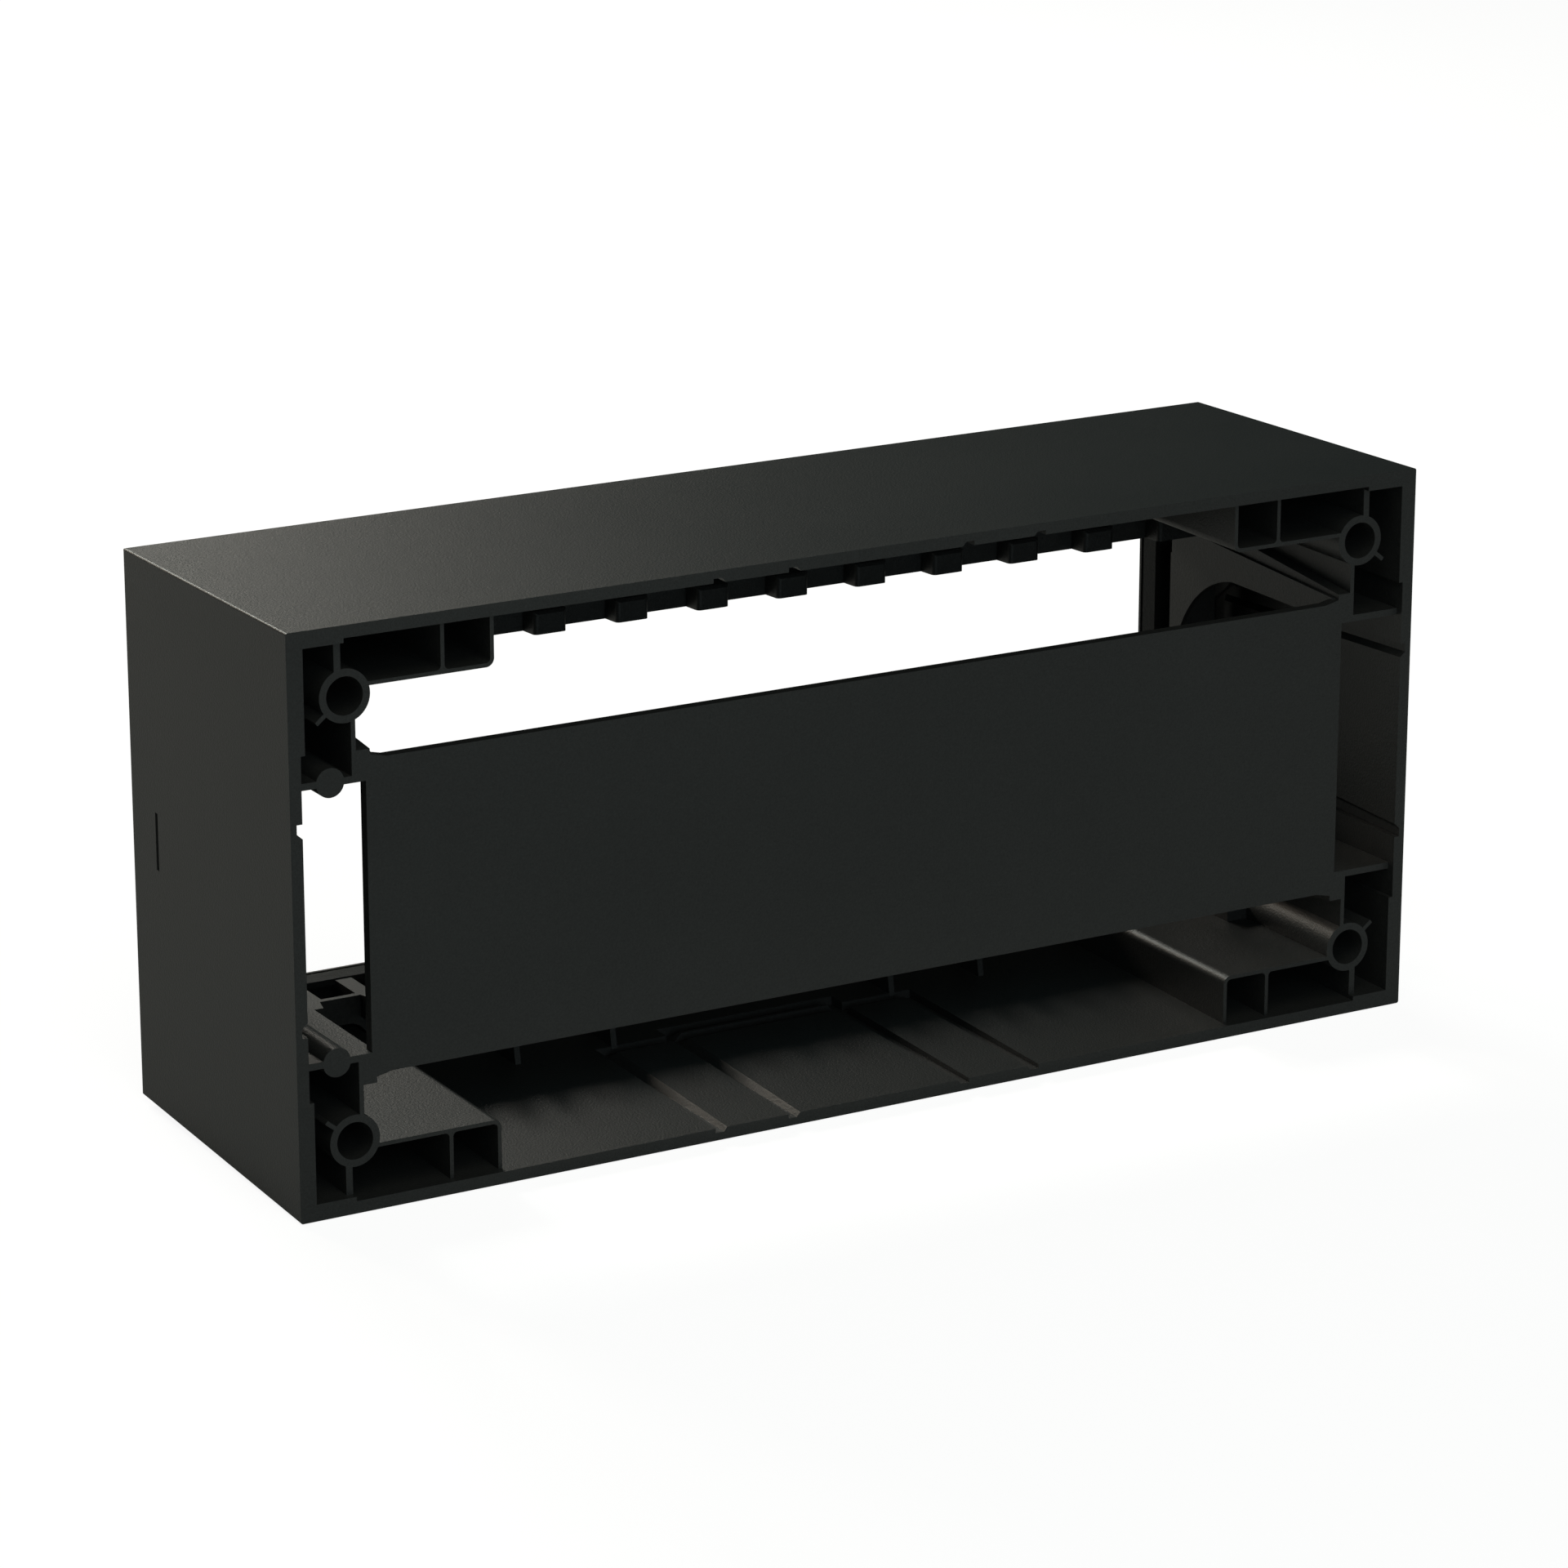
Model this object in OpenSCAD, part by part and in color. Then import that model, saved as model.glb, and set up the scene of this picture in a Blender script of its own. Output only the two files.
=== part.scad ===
// Injection moulded housing: one open-backed box with a windowed front.
// Four screw bosses stand in the corners, thin-walled pockets flank them,
// a bridge plate hangs across the back on two side webs,
// and score grooves on the inside of the walls mark break-out panels.
//
// Working axes: x runs across, y runs from the open rim (0) to the front face,
// and z is measured from mid-height. The last module sets the part on its base.

/* [Walls] */
// Width across the open rim
rim_w = 220; // [212:1:250]
// Height across the open rim
rim_h = 100; // [94:1:120]
// Depth from the rim to the outside of the front
depth = 66.8; // [64:0.2:84]
// Draft of the four walls, in degrees
draft = 1.035; // [0.2:0.005:1.5]
// Thickness of the four walls
wall = 2.15; // [1.8:0.05:2.8]
// Thickness of the walls beside the corner bosses
pad_wall = 2.93; // [2.6:0.01:3.6]
// Length of the thick stretch of a side wall, from the corner
side_pad = 20.6; // [16:0.1:24]
// Length of the thick stretch of the top and bottom walls, from the corner
end_pad = 10.15; // [6:0.05:14]
// Rounding of the outside edges
edge_r = 0.5; // [0.2:0.05:1]
// How far everything inside stands back from the rim
recess = 1.41; // [0.6:0.01:3]

/* [Screw bosses] */
// From the side of the rim to a boss centre
boss_side = 10.77; // [9.5:0.01:12]
// From the top of the rim to a boss centre
boss_top = 12.13; // [10.5:0.01:13.5]
// Outside diameter of a boss
boss_d = 9.05; // [8:0.05:10.5]
// Diameter of its screw bore
bore_d = 6.5; // [3:0.1:7]
// Depth of its screw bore
bore_depth = 32; // [12:1:50]
// Thickness of the rib from a boss to the wall
boss_rib = 1.2; // [0.8:0.05:2]
// Shift of that rib off the boss centre, outward
boss_rib_shift = 1.2; // [0:0.05:2.5]
// Thickness of the short fin on a boss
fin = 0.75; // [0.5:0.05:1.5]
// Reach of the fin from the boss centre
fin_reach = 6.52; // [5.6:0.02:7.2]
// Slope of the fin below the horizontal, in degrees
fin_slope = 38.5; // [20:0.5:60]

/* [Corner pockets] */
// Thickness of the pocket walls
pocket_wall = 0.7; // [0.5:0.05:1.2]
// From the side of the rim to the outside of a pocket's end wall
pocket_len = 37.62; // [32:0.02:44]
// From the top of the rim to the pocket floor's open side
pocket_drop = 10.98; // [9:0.02:12]
// From the side of the rim to the divider of a pocket
divider_at = 28.67; // [22:0.01:31]
// Outside corner radius of a pocket
pocket_r = 1.5; // [0.8:0.1:3]
// Thickness of the wall from a boss down to the shelf
post_wall = 0.8; // [0.5:0.05:1.4]
// Shift of that wall off the boss centre, inward
post_wall_shift = 1.37; // [0:0.01:2.5]

/* [Bridge plate and side webs] */
// Width of the bridge plate
plate_w = 191.6; // [180:0.2:195]
// Height of the bridge plate
plate_h = 53.7; // [50:0.1:55]
// Thickness of the bridge plate
plate_t = 2.1; // [1.2:0.05:3]
// Thickness of the side webs behind the plate
web_t = 1; // [0.7:0.05:1.6]
// How far the plate overhangs each side web
plate_over = 0.4; // [0.1:0.05:1.2]
// Rise of the plate's corners above its edge
lead_up = 0.65; // [0.2:0.05:1]
// Width of the slope up to those corners
lead_in = 2.85; // [1:0.05:5]
// Height of a side web at the plate, from mid-height
web_start = 27.7; // [27.6:0.05:28.6]
// Rise of a side web per millimetre of depth
web_rise = 0.048; // [0:0.002:0.06]
// Half height of the window in a side web
web_window = 23.7; // [18:0.1:24]
// Radius of that window's far corners
web_window_r = 21.8; // [8:0.1:21.8]
// From mid-height to the near side of a shelf
shelf_at = 23.18; // [21:0.02:24]
// Thickness of the shelves
shelf_t = 1.18; // [0.8:0.02:1.8]
// Diameter of the round posts on the left shelves
post_d = 5; // [3:0.1:6]
// From the side of the rim to a post centre
post_side = 7.86; // [6.5:0.02:9]
// Height of a corner tab at the recess, from mid-height
tab_start = 28.5; // [28:0.05:29.4]
// Rise of a corner tab per millimetre of depth
tab_rise = 0.098; // [0:0.002:0.1]

/* [Score grooves] */
// Width of a groove floor
score_floor = 1.6; // [0.8:0.05:2.4]
// Slope of the slanted groove side, sideways per unit of depth
score_slant = 0.9; // [0.3:0.05:1.4]
// Skin left under the grooves at the rim, top and bottom
score_skin = 1.37; // [1.3:0.01:1.6]
// Skin left under the grooves of the side walls
side_skin = 1.13; // [0.9:0.01:1.6]
// Half width of the narrow break-out panels
score_in = 18.1; // [14:0.1:22]
// Half width of the wide break-out panels
score_out = 32.43; // [28:0.01:40]
// From the rim to the far edge of the wide panels
score_end = 43.5; // [30:0.1:44]
// From the rim to the far edge of the narrow panels
score_far = 47.2; // [45.5:0.1:47.4]
// From the rim to the far edge of the panels in the side walls
side_far = 58.4; // [57:0.1:60]
// Width of the groove floor along that edge
side_floor = 3.5; // [2.4:0.1:4]
// Length of the corners cut off those panels
side_corner = 6; // [3:0.1:8]

/* [Front frame] */
// Thickness of the front
front_t = 2.15; // [1.6:0.05:3]
// Width of the front window
window_w = 192.56; // [184:0.02:196]
// Height of the front window
window_h = 64.02; // [62:0.02:68]
// Distance from the front face to the back of the window's rim
jamb_deep = 4.1; // [3.2:0.05:5]
// Thickness of the window's rim
jamb_t = 1.2; // [0.8:0.05:1.6]
// Flare of the window's rim, left and right
jamb_flare = 0.84; // [0.2:0.02:1.2]
// Flare of the window's rim, top and bottom
sill_flare = 0.5; // [0.2:0.02:1.2]
// How far the flare runs in from the back of the window's rim
flare_deep = 2.75; // [1.5:0.05:3]
// Width of the fine groove inside the window's rim
bead_w = 0.74; // [0.3:0.02:1]
// Depth of the fine groove inside the window's rim
bead_deep = 0.45; // [0.2:0.05:0.6]
// From the rim to the frame across the bottom and the sides
frame_at = 53.2; // [51:0.1:55]
// From the rim to the frame across the top
rail_at = 48.1; // [47.6:0.1:50]
// Thickness of the frame
frame_t = 1.17; // [0.8:0.01:2]
// From mid-height to the top edge of the bottom frame
sill = 32.7; // [32.2:0.1:34]
// From mid-height to the lower edge of the top rail
rail_low = 29.77; // [29:0.01:31]
// Pitch of the teeth and of the frame ribs
pitch = 16; // [14:0.5:17]
// Number of teeth along the rail, and of ribs along the bottom frame
teeth = 10; // [6:2:10]
// Width of a tooth of the top rail
tooth_w = 6.26; // [3:0.02:8]
// Width of a tooth of the bottom frame
sill_tooth_w = 2.2; // [1.2:0.1:4]
// How far the teeth stand out in front
tooth_out = 4.5; // [2:0.1:5]
// Height of a tooth of the top rail
tooth_h = 4.3; // [2:0.1:6]
// Height of a tooth of the bottom frame
sill_tooth_h = 4; // [2:0.1:5]
// Rounding of the long edges of the teeth
tooth_r = 0.5; // [0.2:0.05:0.8]
// Rounding of the upright edges of the rail's teeth
tooth_side_r = 0.8; // [0.3:0.05:1]
// Length of the blocks at the ends of the top rail
rail_block_len = 9.53; // [6:0.01:14]
// Thickness of a frame rib
frame_rib = 3.07; // [1:0.01:4]
// From mid-height to the top of the openings at the ends of the bottom frame
arch_top = 37.65; // [36:0.05:38.4]
// From mid-width to the inner side of those openings
arch_at = 71.6; // [68:0.1:74]
// Corner radius of those openings
arch_r = 4; // [2:0.1:4.5]
// Pitch of the thin ribs on the bottom wall
rib_pitch = 19.05; // [14:0.05:22]
// Thickness of the thin ribs on the bottom wall
rib_t = 1.1; // [0.7:0.05:1.6]
// Lean of the thin ribs, depth per unit of height
rib_lean = 0.173; // [0:0.01:0.3]
// Length of the blocks at the ends of the bottom frame
block_len = 14.3; // [8:0.1:18]
// How far those blocks stand out in front of the frame
block_out = 3.2; // [1:0.1:5]
// How much shorter those blocks are in front than behind
block_slant = 1.6; // [0:0.1:4]
// Gap between the side frames and the side walls
frame_gap = 2.7; // [1:0.1:4]
// From the side of the rim to the gussets on the pocket floors
gusset_at = 19.46; // [16:0.02:22]
// From the rim to the near end of those gussets
gusset_from = 26.96; // [15:0.02:40]
// Height of those gussets
gusset_h = 2.6; // [1:0.1:4]
// Height of the slots through the side walls
slot_h = 10.2; // [4:0.1:16]
// Width of the slots through the side walls
slot_w = 1.05; // [0.6:0.05:2]
// From the front face to the middle of those slots
slot_back = 10.8; // [8:0.1:12]

/* [Hidden] */
$fn = 64;

// Width lost on each side for each millimetre of depth
taper = tan(draft);
// How far a feature runs into the wall that carries it
root = 1;
// How far a cutter runs past the face that it opens
past = 1;
// How far the side frames lap the ends of the side webs
lap = 0.1;
// How far in from its skin the cutter of a groove reaches
score_reach = 3;

rim_x = rim_w / 2;
rim_z = rim_h / 2;
front_in = depth - front_t;
boss_x = rim_x - boss_side;
boss_z = rim_z - boss_top;
pocket_x = rim_x - pocket_len;
pocket_z = rim_z - pocket_drop;
divider_x = rim_x - divider_at;
post_wall_x = boss_x - post_wall_shift;
web_x = plate_w / 2 - plate_over;
web_in = web_x - web_t;
plate_back = recess + plate_t;
window_x = window_w / 2;
window_z = window_h / 2;
jamb_at = depth - jamb_deep;
frame_back = frame_at + frame_t;
ledge_x = web_x - plate_over;
// Place of the first tooth of each row
first_tooth = -(teeth - 1) * pitch / 2;
// Rise of a bottom tooth's top per millimetre towards the rim
sill_rise = 0.16;
// Slope of the corners cut off a side panel
side_corner_slope = 0.78;

function half_w(y) = rim_x - y * taper;
function half_h(y) = rim_z - y * taper;

// Extrudes an outline drawn in x and z along the depth
module along_depth(from, to) {
    translate([0, to, 0])
        rotate([90, 0, 0])
            linear_extrude(to - from)
                children();
}

// Extrudes an outline drawn in y and z across the width
module across(from, to) {
    translate([from, 0, 0])
        rotate([90, 0, 90])
            linear_extrude(to - from)
                children();
}

// Extrudes an outline drawn in x and y up the height
module upright(from, to) {
    translate([0, 0, from])
        linear_extrude(to - from)
            children();
}

// A plain block between two corners
module block(low, high) {
    translate(low)
        cube(high - low);
}

module both_sides() {
    children();
    mirror([1, 0, 0])
        children();
}

module top_and_bottom() {
    children();
    mirror([0, 0, 1])
        children();
}

module four_corners() {
    both_sides()
        top_and_bottom()
            children();
}

// Outline of what a rounded edge takes away, drawn from the middle of its round.
// The round is a touch larger than its inset, so it crosses both faces cleanly
module edge_outline() {
    swell = 1.06;
    difference() {
        square(edge_r + past);
        circle(r = edge_r * swell);
    }
}

// Rounds the edge that runs back from one corner of the rim
module depth_edge_cut() {
    lean = atan(taper * cos(draft));
    translate([rim_x, 0, rim_z])
        rotate([-90 - lean, 0, draft])
            translate([-edge_r, edge_r, -past])
                linear_extrude(depth + 3 * past)
                    mirror([0, 1])
                        edge_outline();
}

// The outside of the box: drafted walls with rounded edges
module outer_form() {
    difference() {
        drafted_space(0, 0, 0, depth);
        four_corners()
            depth_edge_cut();
        top_and_bottom()
            across(-rim_x, rim_x)
                translate([depth - edge_r, half_h(depth) - edge_r])
                    edge_outline();
        both_sides()
            upright(-rim_z, rim_z)
                translate([half_w(depth) - edge_r, depth - edge_r])
                    edge_outline();
    }
}

// A drafted space inside the walls, with its own wall thickness each way
module drafted_space(side, top, from, to) {
    near_x = half_w(from) - side;
    far_x = half_w(to) - side;
    near_z = half_h(from) - top;
    far_z = half_h(to) - top;
    intersection() {
        upright(-rim_z - past, rim_z + past)
            polygon([[-near_x, from], [near_x, from], [far_x, to], [-far_x, to]]);
        across(-rim_x - past, rim_x + past)
            polygon([[from, -near_z], [from, near_z], [to, far_z], [to, -far_z]]);
    }
}

// The space inside the box, narrower beside the corner bosses
module inside() {
    pad_z = rim_z - side_pad;
    pad_x = rim_x - end_pad;
    drafted_space(pad_wall, pad_wall, -past, front_in);
    intersection() {
        drafted_space(wall, pad_wall, -past, front_in);
        block([-rim_x, -past, -pad_z], [rim_x, depth, pad_z]);
    }
    intersection() {
        drafted_space(pad_wall, wall, -past, front_in);
        block([-pad_x, -past, -rim_z], [pad_x, depth, rim_z]);
    }
}

// Outline of a score groove cut up into a skin: one square side, one slanted side
module score_outline(edge, skin_at, floor_w = score_floor) {
    low = skin_at - score_reach;
    polygon([
        [edge, low],
        [edge, skin_at],
        [edge - floor_w, skin_at],
        [edge - floor_w - score_reach * score_slant, low]
    ]);
}

// Grooves on the inside of the top and bottom walls
module wall_scores() {
    skin_at = rim_z - score_skin;
    top_and_bottom() {
        both_sides() {
            along_depth(-past, score_far)
                score_outline(score_in, skin_at);
            along_depth(-past, score_end)
                score_outline(score_out, skin_at);
        }
        across(-score_out, score_out)
            score_outline(score_end, skin_at);
        across(-score_in, score_in)
            score_outline(score_far, skin_at);
    }
}

// Outline of the panel in a side wall: it narrows with depth, and two corners are cut off
module side_panel_outline() {
    turn_at = side_far - side_corner;
    turn_z = score_in - turn_at * taper;
    end_z = turn_z - side_corner * side_corner_slope;
    polygon([
        [-past, -score_in],
        [-past, score_in],
        [turn_at, turn_z],
        [side_far, end_z],
        [side_far, -end_z],
        [turn_at, -turn_z]
    ]);
}

// Grooves on the inside of the side walls, cut along the drafted wall.
// Their inner sides close in twice as fast as the panel's own outline
module side_scores() {
    inner_z = score_in - score_floor;
    both_sides()
        translate([rim_x, 0, 0])
            rotate([0, 0, draft])
                intersection() {
                    across(-side_skin - score_reach, -side_skin)
                        side_panel_outline();
                    union() {
                        top_and_bottom()
                            translate([0, 0, inner_z])
                                rotate([-2 * draft, 0, 0])
                                    along_depth(-2 * past, depth)
                                        mirror([1, -1])
                                            score_outline(side_floor, -side_skin, side_floor);
                        upright(-score_in, score_in)
                            mirror([1, -1])
                                score_outline(side_far, -side_skin, side_floor);
                    }
                }
}

// A narrow slot through each side wall, near the front
module side_slots() {
    middle = depth - slot_back;
    both_sides()
        block(
            [rim_x - 2 * pad_wall, middle - slot_w / 2, -slot_h / 2],
            [rim_x + past, middle + slot_w / 2, slot_h / 2]
        );
}

// The box itself, with its grooves and slots
module shell() {
    difference() {
        outer_form();
        inside();
        wall_scores();
        side_scores();
        side_slots();
    }
}

// A round screw boss, the rib that ties it to the wall, and its short fin
module boss() {
    along_depth(recess, front_in + root)
        translate([boss_x, boss_z])
            circle(d = boss_d);
    block(
        [boss_x + boss_rib_shift - boss_rib / 2, recess, boss_z],
        [boss_x + boss_rib_shift + boss_rib / 2, front_in + root, half_h(depth) - root]
    );
    along_depth(recess, front_in + root)
        translate([boss_x, boss_z])
            rotate(-fin_slope)
                translate([bore_d / 2 + fin, -fin / 2])
                    square([fin_reach - bore_d / 2 - fin, fin]);
}

// The blind bore of a screw boss
module boss_bore() {
    translate([boss_x, recess - past, boss_z])
        rotate([-90, 0, 0])
            cylinder(d = bore_d, h = bore_depth + past);
}

// Outline of the open space of one pocket, with its two low corners rounded
module cell_outline(from, to) {
    low = pocket_z + pocket_wall;
    round_r = pocket_r - pocket_wall;
    translate([from, low + round_r])
        square([to - from, pocket_drop]);
    translate([from + round_r, low])
        square([to - from - 2 * round_r, 2 * round_r]);
    for (x = [from + round_r, to - round_r])
        translate([x, low + round_r])
            circle(r = round_r);
}

// Outline of the thin pocket walls between a boss and the top wall
module pocket_outline() {
    top = half_h(depth) - root;
    difference() {
        union() {
            translate([pocket_x + pocket_r, pocket_z])
                square([boss_x - pocket_x - pocket_r, top - pocket_z]);
            translate([pocket_x, pocket_z + pocket_r])
                square([pocket_r, top - pocket_z - pocket_r]);
            translate([pocket_x + pocket_r, pocket_z + pocket_r])
                circle(r = pocket_r);
        }
        cell_outline(pocket_x + pocket_wall, divider_x);
        cell_outline(divider_x + pocket_wall, boss_x + root);
    }
}

// The pocket walls, and the thin wall from the boss down to the shelf
module pocket() {
    along_depth(recess, front_in + root)
        pocket_outline();
    block(
        [post_wall_x - post_wall / 2, recess, shelf_at],
        [post_wall_x + post_wall / 2, frame_back, boss_z - bore_d / 2 - fin]
    );
}

// The plate across the back, with its corners carried up to the tabs
module bridge_plate() {
    plate_x = plate_w / 2;
    plate_z = plate_h / 2;
    along_depth(recess, plate_back) {
        square([plate_w, 2 * shelf_at], center = true);
        square([2 * ledge_x, plate_h], center = true);
        both_sides2d()
            polygon([
                [ledge_x - lead_in, plate_z],
                [ledge_x, plate_z + lead_up],
                [plate_x, plate_z + lead_up],
                [plate_x, -plate_z - lead_up],
                [ledge_x, -plate_z - lead_up],
                [ledge_x - lead_in, -plate_z]
            ]);
    }
}

module both_sides2d() {
    children();
    mirror([1, 0])
        children();
}

// Solid tab that ties the plate and side web to the wall below the boss
module corner_tab() {
    end_z = tab_start + (frame_at - recess) * tab_rise;
    across(ledge_x, post_wall_x)
        polygon([
            [recess, shelf_at],
            [recess, tab_start],
            [frame_at, end_z],
            [frame_at, shelf_at]
        ]);
}

// Web that runs from the plate to the front frame, with a round-ended window
module side_web() {
    end_at = frame_at + lap;
    end_z = web_start + (end_at - plate_back) * web_rise;
    middle = frame_at - web_t - web_window_r;
    flat = web_window - web_window_r;
    across(web_in, web_x)
        difference() {
            polygon([
                [recess + plate_t / 2, -web_start],
                [recess + plate_t / 2, web_start],
                [end_at, end_z],
                [end_at, -end_z]
            ]);
            translate([plate_back, -web_window])
                square([middle - plate_back, 2 * web_window]);
            translate([middle - past, -flat])
                square([web_window_r + past, 2 * flat]);
            for (side = [-1, 1])
                translate([middle, side * flat])
                    circle(r = web_window_r);
        }
}

// Shelf from the side wall to the side web
module shelf() {
    block(
        [web_in + web_t / 2, recess, shelf_at],
        [half_w(depth) - root, frame_back, shelf_at + shelf_t]
    );
}

// Round post on a left-hand shelf
module left_post() {
    along_depth(recess, frame_back)
        translate([post_side - rim_x, shelf_at + shelf_t / 2])
            circle(d = post_d);
}

// Gusset on the pocket floor beside a boss
module gusset() {
    x = rim_x - gusset_at;
    block(
        [x, gusset_from, pocket_z - gusset_h],
        [post_wall_x, frame_back, pocket_z + pocket_wall / 2]
    );
}

// The ring round the front window, flared at the back and grooved inside
module window_rim() {
    grip_x = jamb_flare + jamb_t;
    grip_z = sill_flare + jamb_t;
    along_depth(jamb_at, front_in + root)
        difference() {
            square([window_w + 2 * grip_x, window_h + 2 * grip_z], center = true);
            square([window_w, window_h], center = true);
        }
}

// Everything that is cut out for the front window
module window_cut() {
    flare_to = jamb_at + flare_deep;
    wide_x = window_x + jamb_flare;
    wide_z = window_z + sill_flare;
    block([-window_x, jamb_at - past, -window_z], [window_x, depth + past, window_z]);
    intersection() {
        upright(-wide_z, wide_z)
            polygon([
                [-wide_x, jamb_at], [wide_x, jamb_at],
                [window_x, flare_to], [-window_x, flare_to]
            ]);
        across(-wide_x, wide_x)
            polygon([
                [jamb_at, -wide_z], [jamb_at, wide_z],
                [flare_to, window_z], [flare_to, -window_z]
            ]);
    }
    block(
        [-window_x - bead_deep, flare_to, -window_z - bead_deep],
        [window_x + bead_deep, flare_to + bead_w, window_z + bead_deep]
    );
}

// Opening round the pocket, through each end of the bottom frame
module end_arch() {
    low = -half_h(frame_at) + wall;
    wide = web_in - block_len + block_slant - arch_at;
    along_depth(frame_at - past, jamb_at)
        translate([arch_at, low]) {
            square([wide, -arch_top - arch_r - low]);
            translate([arch_r, 0])
                square([wide - arch_r, -arch_top - low]);
            translate([arch_r, -arch_top - arch_r - low])
                circle(r = arch_r);
        }
}

// Frame across the bottom: a web, ribs back to the front, and teeth before them
module bottom_frame() {
    low = -half_h(depth) + root;
    difference() {
        union() {
            along_depth(frame_at, frame_back)
                translate([-web_x, low])
                    square([2 * web_x, -sill - low]);
            for (i = [0 : teeth - 1])
                block(
                    [first_tooth + i * pitch - frame_rib / 2, frame_at, low],
                    [first_tooth + i * pitch + frame_rib / 2, jamb_at + root, -sill]
                );
        }
        both_sides()
            end_arch();
    }
    for (i = [0 : teeth - 1])
        sill_tooth(first_tooth + i * pitch);
}

// Tooth of the bottom frame, its top rising towards the rim
module sill_tooth(at) {
    front = frame_at - tooth_out;
    low = -sill - sill_tooth_h;
    across(at - sill_tooth_w / 2, at + sill_tooth_w / 2)
        polygon([
            [front, low + tooth_r],
            [front + tooth_r, low],
            [frame_at + frame_t / 2, low],
            [frame_at + frame_t / 2, -sill],
            [frame_at, -sill],
            [front, -sill + tooth_out * sill_rise]
        ]);
}

// Rail across the top, with its row of teeth and a block at each end
module top_rail() {
    high = half_h(depth) - root;
    along_depth(rail_at, rail_at + frame_t)
        translate([-web_x, rail_low])
            square([2 * web_x, high - rail_low]);
    for (i = [0 : teeth - 1])
        rail_tooth(first_tooth + i * pitch - tooth_w / 2, first_tooth + i * pitch + tooth_w / 2);
    both_sides()
        rail_tooth(web_in - rail_block_len, ledge_x + 2 * tooth_side_r);
}

// One tooth of the top rail, from side to side, with its edges rounded
module rail_tooth(from, to) {
    front = rail_at - tooth_out;
    intersection() {
        upright(rail_low, rail_low + tooth_h) {
            translate([from, front + tooth_side_r])
                square([to - from, tooth_out]);
            translate([from + tooth_side_r, front])
                square([to - from - 2 * tooth_side_r, tooth_out]);
            for (x = [from + tooth_side_r, to - tooth_side_r])
                translate([x, front + tooth_side_r])
                    circle(r = tooth_side_r, $fn = 24);
        }
        across(from - past, to + past)
            polygon([
                [front, rail_low + tooth_r / 2],
                [front, rail_low + tooth_h - tooth_r],
                [front + tooth_r, rail_low + tooth_h],
                [rail_at + frame_t / 2, rail_low + tooth_h],
                [rail_at + frame_t / 2, rail_low]
            ]);
    }
}

// Frame down each side, between the shelves, standing clear of the side wall
module side_frame() {
    block(
        [web_in + web_t / 2, frame_at, -shelf_at - shelf_t / 2],
        [half_w(frame_at) - wall - frame_gap, frame_back, shelf_at + shelf_t / 2]
    );
}

// Thin rib on the bottom wall, leaning back as it rises
module floor_rib(at) {
    foot = -half_h(score_end) + wall;
    near = score_end + rib_lean * (-sill - foot);
    across(at - rib_t / 2, at + rib_t / 2)
        polygon([
            [score_end - rib_lean * root, foot - root / 2],
            [near, -sill],
            [frame_at + frame_t / 2, -sill],
            [frame_at + frame_t / 2, foot - root / 2]
        ]);
}

// Block at each end of the bottom frame, on the pocket floor, slanted in front
module end_block() {
    inner = web_in - block_len;
    near = frame_at - block_out;
    upright(-pocket_z - pocket_wall / 2, -sill)
        polygon([
            [inner + block_slant, near],
            [web_in + web_t / 2, near],
            [web_in + web_t / 2, jamb_at + root],
            [inner, jamb_at + root],
            [inner, frame_back],
            [inner + block_slant / 2, frame_at]
        ]);
}

// The whole moulding, on its base
module housing() {
    color([0.09, 0.095, 0.09])
        translate([0, -depth / 2, rim_z])
            difference() {
                union() {
                    shell();
                    four_corners() {
                        boss();
                        pocket();
                        corner_tab();
                        shelf();
                        gusset();
                    }
                    bridge_plate();
                    both_sides() {
                        side_web();
                        side_frame();
                        end_block();
                        for (i = [1 : 2])
                            floor_rib((i + 0.5) * rib_pitch);
                    }
                    top_and_bottom()
                        left_post();
                    window_rim();
                    bottom_frame();
                    top_rail();
                }
                four_corners()
                    boss_bore();
                window_cut();
            }
}

housing();
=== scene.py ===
import math

import bpy
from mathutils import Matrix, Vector

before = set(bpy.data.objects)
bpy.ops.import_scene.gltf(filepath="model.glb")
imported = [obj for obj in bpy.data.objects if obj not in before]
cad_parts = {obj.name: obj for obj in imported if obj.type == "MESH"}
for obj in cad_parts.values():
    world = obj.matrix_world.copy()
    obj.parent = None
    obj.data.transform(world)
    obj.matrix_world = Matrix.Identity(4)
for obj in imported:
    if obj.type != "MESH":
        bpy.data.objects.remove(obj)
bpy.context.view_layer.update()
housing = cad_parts["housing"]
print("frame loaded")


# Wraps one output socket, so shader maths can be written as expressions
class Wire:
    def __init__(self, tree, socket):
        self.tree = tree
        self.socket = socket

    def maths(self, operation, other, swapped=False):
        values = [other, self] if swapped else [self, other]
        return self.tree.node("ShaderNodeMath", {"operation": operation}, values)

    def __add__(self, other):
        return self.maths("ADD", other)

    def __radd__(self, other):
        return self.maths("ADD", other, True)

    def __sub__(self, other):
        return self.maths("SUBTRACT", other)

    def __rsub__(self, other):
        return self.maths("SUBTRACT", other, True)

    def __mul__(self, other):
        return self.maths("MULTIPLY", other)

    def __rmul__(self, other):
        return self.maths("MULTIPLY", other, True)


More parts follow.
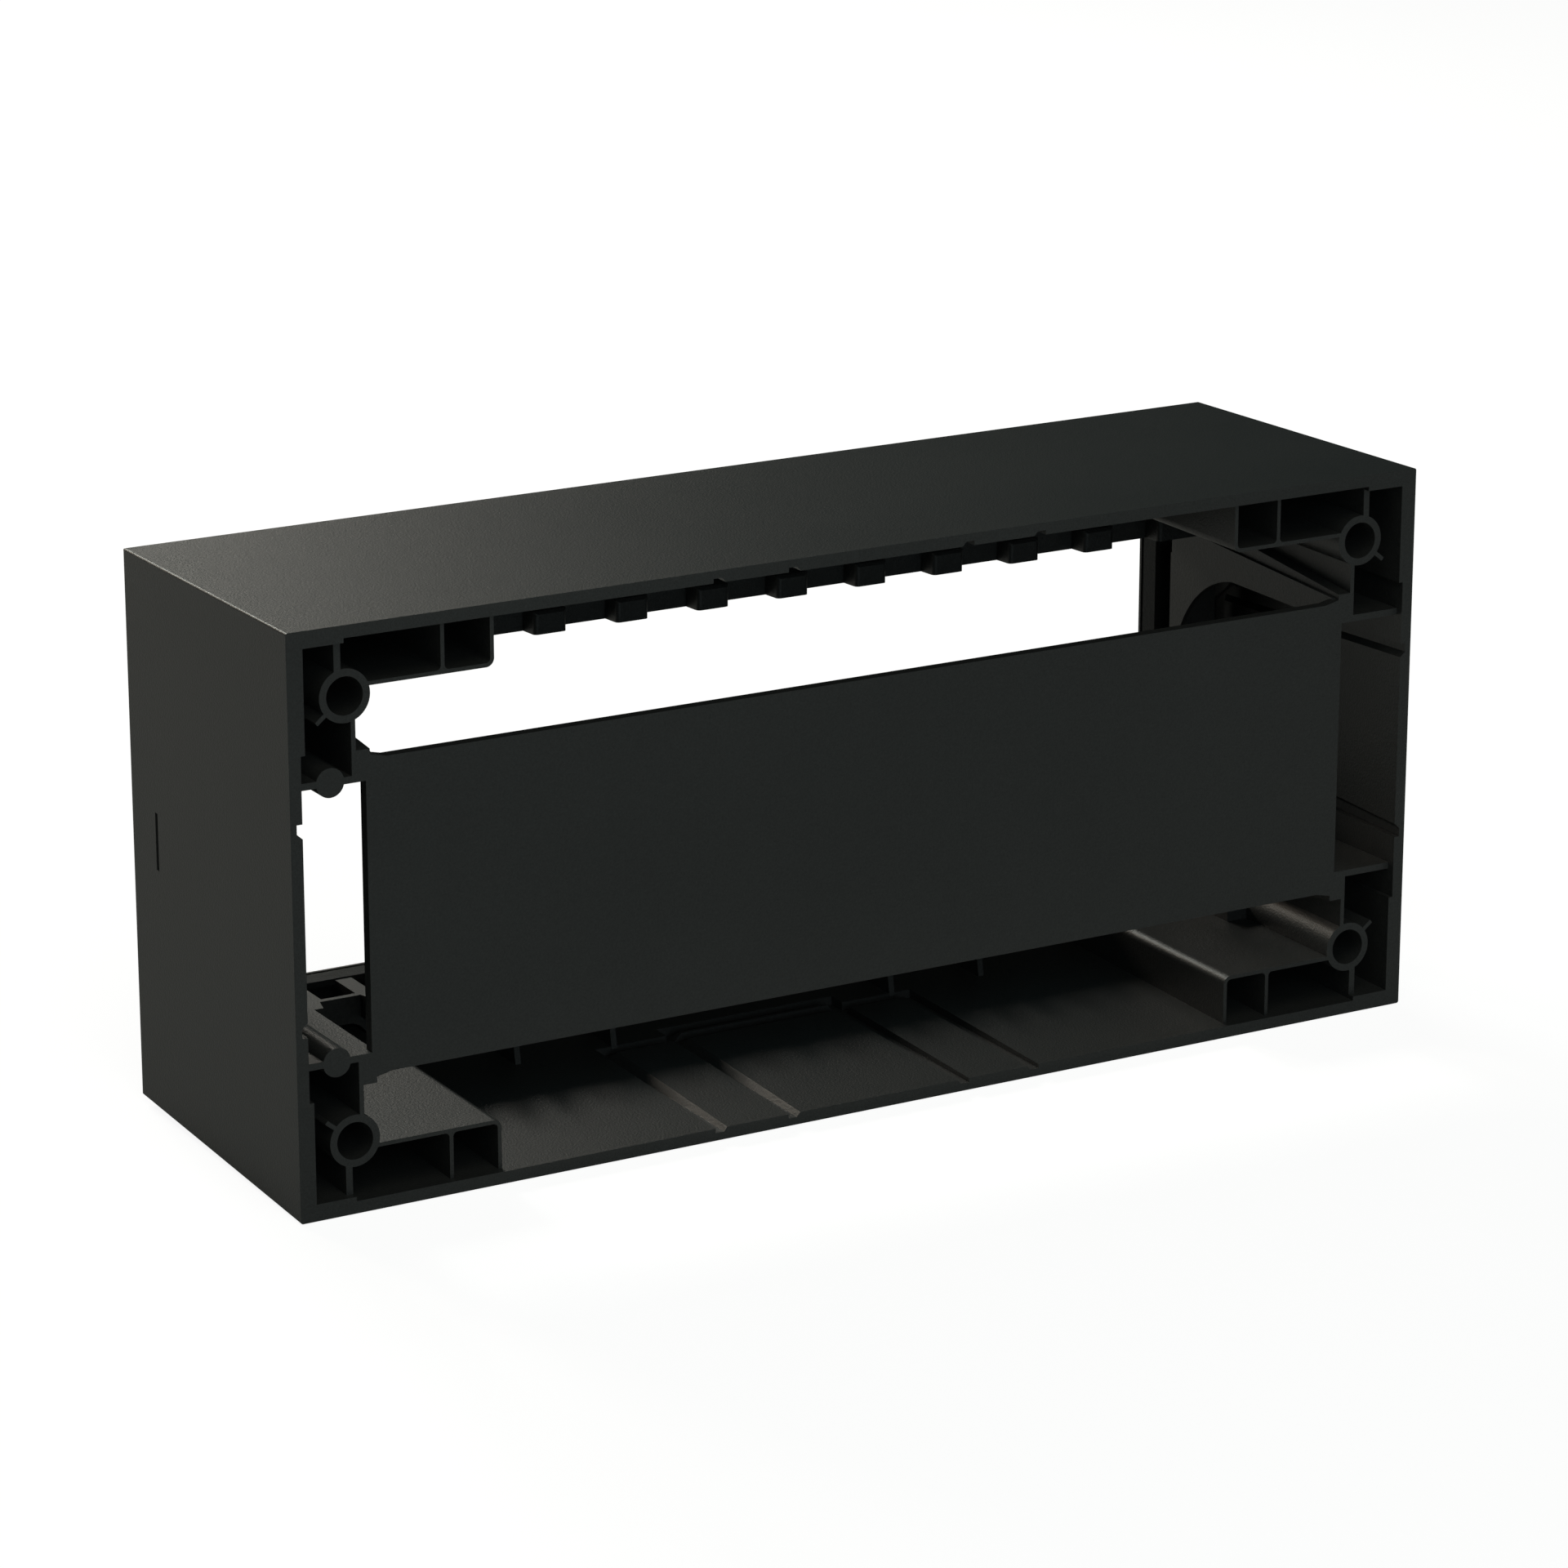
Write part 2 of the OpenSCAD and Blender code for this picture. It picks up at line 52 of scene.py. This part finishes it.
# One material or world node tree, emptied, with one method that adds a node
class Tree:
    def __init__(self, owner):
        owner.use_nodes = True
        self.nodes = owner.node_tree.nodes
        self.links = owner.node_tree.links
        self.nodes.clear()

    def node(self, kind, settings=None, inputs=None, output=0):
        made = self.nodes.new(kind)
        for key, value in (settings or {}).items():
            setattr(made, key, value)
        pairs = inputs.items() if isinstance(inputs, dict) else enumerate(inputs or [])
        for key, value in pairs:
            if isinstance(value, Wire):
                self.links.new(value.socket, made.inputs[key])
            else:
                made.inputs[key].default_value = value
        return Wire(self, made.outputs[output]) if made.outputs else None


# The view of the photograph: where the eye stands, in degrees and metres, and what it looks at
camera = {
    "bearing": -29.98,
    "height": 16.99,
    "distance": 0.97356,
    "aim": (0.0001, -0.0002, 0.0496),
    "lens": 127.79,  # mm, as is the sensor
    "sensor": 36.0,
    "nearest": 0.01,
    "farthest": 30.0,
}


# Unit vector from the object towards a place given by bearing and height
def towards(bearing, height):
    turn = math.radians(bearing)
    rise = math.radians(height)
    return Vector((math.sin(turn) * math.cos(rise), -math.cos(turn) * math.cos(rise), math.sin(rise)))


# Adds a camera or a lamp where its dictionary puts it, facing what the camera looks at
def addFacing(name, data, spec):
    made = bpy.data.objects.new(name, data)
    back = towards(spec["bearing"], spec["height"])
    made.location = Vector(camera["aim"]) + back * spec["distance"]
    made.rotation_euler = back.to_track_quat("Z", "Y").to_euler()
    bpy.context.scene.collection.objects.link(made)
    return made


def makeCamera():
    data = bpy.data.cameras.new("photoView")
    data.lens = camera["lens"]
    data.sensor_width = camera["sensor"]
    data.clip_start = camera["nearest"]
    data.clip_end = camera["farthest"]
    bpy.context.scene.camera = addFacing("photoView", data, camera)


makeCamera()
print("camera placed")


# Black moulded plastic: a very fine grain over broad, faint clouds, in colour and in gloss
plastic = {
    "black": (0.0060, 0.0064, 0.0061, 1.0),
    "grey": (0.0410, 0.0414, 0.0405, 1.0),
    "grainShare": 0.75,  # of the colour, the clouds make the rest
    "roughLow": 0.42,
    "roughHigh": 0.49,
    "roughGrainShare": 0.4,  # of the gloss, the clouds make the rest
    "refraction": 1.5,
    "grainScale": 2600.0,
    "grainDetail": 2.0,
    "grainRough": 0.6,
    "grainBump": 0.6,
    "grainHeight": 0.00010,  # metres
    "cloudScale": 26.0,
    "cloudDetail": 4.0,
    "cloudRough": 0.55,
}


def makePlastic():
    material = bpy.data.materials.new("blackMouldedPlastic")
    tree = Tree(material)
    place = tree.node("ShaderNodeTexCoord", output="Object")
    cloud = tree.node("ShaderNodeTexNoise", {"noise_dimensions": "3D"}, {
        "Vector": place,
        "Scale": plastic["cloudScale"],
        "Detail": plastic["cloudDetail"],
        "Roughness": plastic["cloudRough"]}, "Fac")
    grain = tree.node("ShaderNodeTexNoise", {"noise_dimensions": "3D"}, {
        "Vector": place,
        "Scale": plastic["grainScale"],
        "Detail": plastic["grainDetail"],
        "Roughness": plastic["grainRough"]}, "Fac")
    colour = tree.node("ShaderNodeMix", {"data_type": "RGBA"}, {
        "Factor": cloud * (1.0 - plastic["grainShare"]) + grain * plastic["grainShare"],
        "A": plastic["black"],
        "B": plastic["grey"]}, "Result")
    spread = plastic["roughHigh"] - plastic["roughLow"]
    grainSpread = spread * plastic["roughGrainShare"]
    rough = cloud * (spread - grainSpread) + grain * grainSpread + plastic["roughLow"]
    bump = tree.node("ShaderNodeBump", None, {
        "Strength": plastic["grainBump"],
        "Distance": plastic["grainHeight"],
        "Height": grain})
    shader = tree.node("ShaderNodeBsdfPrincipled", None, {
        "Base Color": colour,
        "Roughness": rough,
        "Normal": bump,
        "IOR": plastic["refraction"]})
    tree.node("ShaderNodeOutputMaterial", None, {"Surface": shader})
    return material


housing.data.materials.clear()
housing.data.materials.append(makePlastic())
print("housing finished")


# Plain white that the eye sees behind the housing, on the pale floor and in the room.
# Reflections get a small share of it, because a full one would turn the black grey
backdrop = {
    "white": (1.0, 1.0, 1.0, 1.0),
    "glossShare": 0.02,
    "roomTint": (0.50, 0.95, 1.0, 1.0),
    "roomLight": 0.014,
    "floorReach": 4.0,  # metres from the middle, each way
    "floorDrop": 0.0002,  # metres under the housing
    "floorPale": (0.80, 0.80, 0.80, 1.0),
    "floorShare": 0.60,
    "floorLevel": 1.51,
}


def whiteSeen(tree):
    eye = tree.node("ShaderNodeLightPath", output="Is Camera Ray")
    through = tree.node("ShaderNodeLightPath", output="Is Transmission Ray")
    gloss = tree.node("ShaderNodeLightPath", output="Is Glossy Ray")
    return eye + through + gloss * backdrop["glossShare"]


def makeRoom():
    world = bpy.data.worlds.new("studioRoom")
    bpy.context.scene.world = world
    tree = Tree(world)
    seen = whiteSeen(tree)
    colour = tree.node("ShaderNodeMix", {"data_type": "RGBA"}, {
        "Factor": seen,
        "A": backdrop["roomTint"],
        "B": backdrop["white"]}, "Result")
    glow = tree.node("ShaderNodeBackground", None, {
        "Color": colour,
        "Strength": seen + (1.0 - seen) * backdrop["roomLight"]})
    tree.node("ShaderNodeOutputWorld", None, {"Surface": glow})


def makeFloor():
    reach = backdrop["floorReach"]
    mesh = bpy.data.meshes.new("paleFloor")
    corners = [(-reach, -reach, 0), (reach, -reach, 0), (reach, reach, 0), (-reach, reach, 0)]
    mesh.from_pydata(corners, [], [(0, 1, 2, 3)])
    material = bpy.data.materials.new("paleFloor")
    tree = Tree(material)
    paint = tree.node("ShaderNodeBsdfDiffuse", None, {"Color": backdrop["floorPale"]})
    glow = tree.node("ShaderNodeEmission", None, {
        "Color": backdrop["white"],
        "Strength": backdrop["floorLevel"]})
    shader = tree.node("ShaderNodeMixShader", None, [whiteSeen(tree) * backdrop["floorShare"], paint, glow])
    tree.node("ShaderNodeOutputMaterial", None, {"Surface": shader})
    mesh.materials.append(material)
    floor = bpy.data.objects.new("paleFloor", mesh)
    floor.location.z = -backdrop["floorDrop"]
    bpy.context.scene.collection.objects.link(floor)


makeRoom()
makeFloor()
print("floor and room made")


# Soft lamps, each named for where it stands, in degrees, metres and watts. Three low ones behind
# shine along the top and the floor of the box, and two large ones fill the front
lamps = {
    "behind": {
        "bearing": 180.0, "height": 24.5, "distance": 1.3,
        "size": 0.20, "power": 3.6, "colour": (0.95, 1.0, 0.93)},
    "behindRight": {
        "bearing": 165.0, "height": 24.5, "distance": 1.3,
        "size": 0.20, "power": 0.75, "colour": (1.0, 0.94, 0.84)},
    "behindLeft": {
        "bearing": -165.0, "height": 24.5, "distance": 1.3,
        "size": 0.20, "power": 2.1, "colour": (1.0, 0.86, 0.71)},
    "front": {
        "bearing": -10.0, "height": 22.0, "distance": 1.8,
        "size": 1.20, "power": 6.8, "colour": (0.79, 0.93, 0.96)},
    "aboveFront": {
        "bearing": -20.0, "height": 60.0, "distance": 1.4,
        "size": 0.80, "power": 2.9, "colour": (1.0, 1.0, 0.86)},
}


def makeLamp(name, spec):
    data = bpy.data.lights.new(name, "AREA")
    data.shape = "SQUARE"
    data.size = spec["size"]
    data.energy = spec["power"]
    data.color = spec["colour"]
    addFacing(name, data, spec)


for lampName, lampSpec in lamps.items():
    makeLamp(lampName, lampSpec)
print("lamps placed")

bpy.context.scene.view_settings.view_transform = "Standard"
